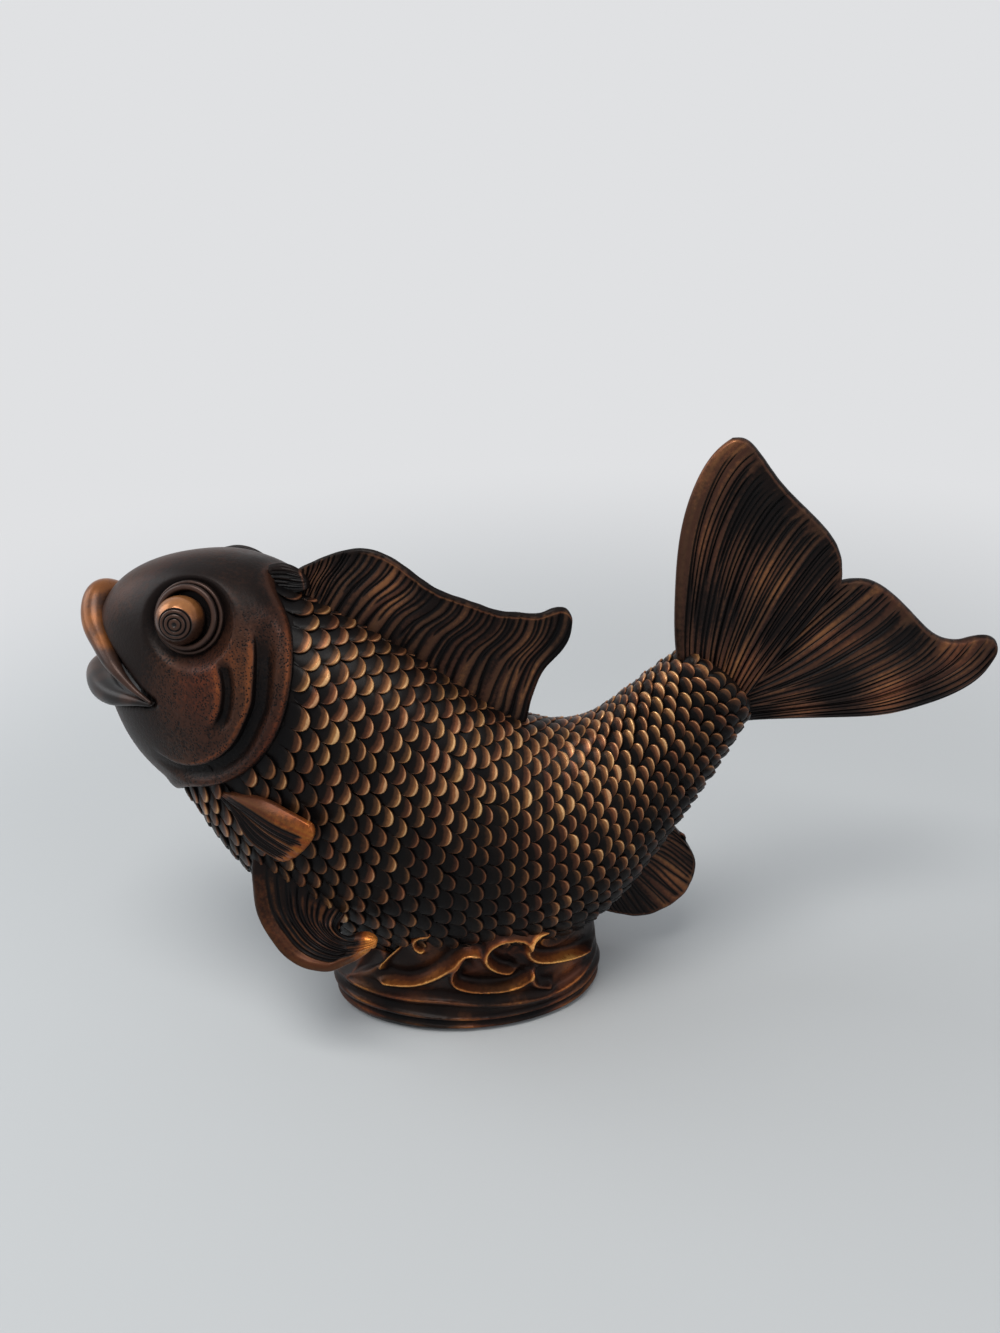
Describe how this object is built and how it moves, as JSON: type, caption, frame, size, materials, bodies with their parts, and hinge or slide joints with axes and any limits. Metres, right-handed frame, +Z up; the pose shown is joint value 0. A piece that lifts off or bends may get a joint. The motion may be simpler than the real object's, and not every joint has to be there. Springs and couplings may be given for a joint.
{
  "type": "fish figurine",
  "caption": "Bronze-finish carp leaping from a wave base, head and tail raised, with gill covers, bulging eyes, fanned tail, waved dorsal fin and paired side fins.",
  "frame": {"origin": "centre of the flat underside of the wave base, on the surface that the figurine stands on", "axes": "+Z up; the fish's head points along -X and its tail along +X; +Y is the far side, towards the fish's right flank"},
  "size_m": [0.3331, 0.0918, 0.2091],
  "materials": {
    "scaled_bronze": "cast resin with a dark bronze patina, rubbed to copper on the scale rims, satin",
    "head_bronze": "cast resin with a dark red-brown bronze patina, pitted cheeks, satin",
    "eye_bronze": "cast resin with a polished copper-brown patina",
    "fin_bronze": "cast resin with rubbed bronze rays and dark grooves, satin",
    "wave_bronze": "cast resin with a dark bronze patina and golden-brown wave crests, satin"
  },
  "bodies": {
    "root": {"trunk": "scaled_bronze", "head": "head_bronze", "left_eye": "eye_bronze", "right_eye": "eye_bronze", "dorsal_fin": "fin_bronze", "tail_fin": "fin_bronze", "anal_fin": "fin_bronze", "left_pectoral_fin": "fin_bronze", "right_pectoral_fin": "fin_bronze", "left_pelvic_fin": "fin_bronze", "right_pelvic_fin": "fin_bronze", "wave_base": "wave_bronze"}
  },
  "joints": []
}
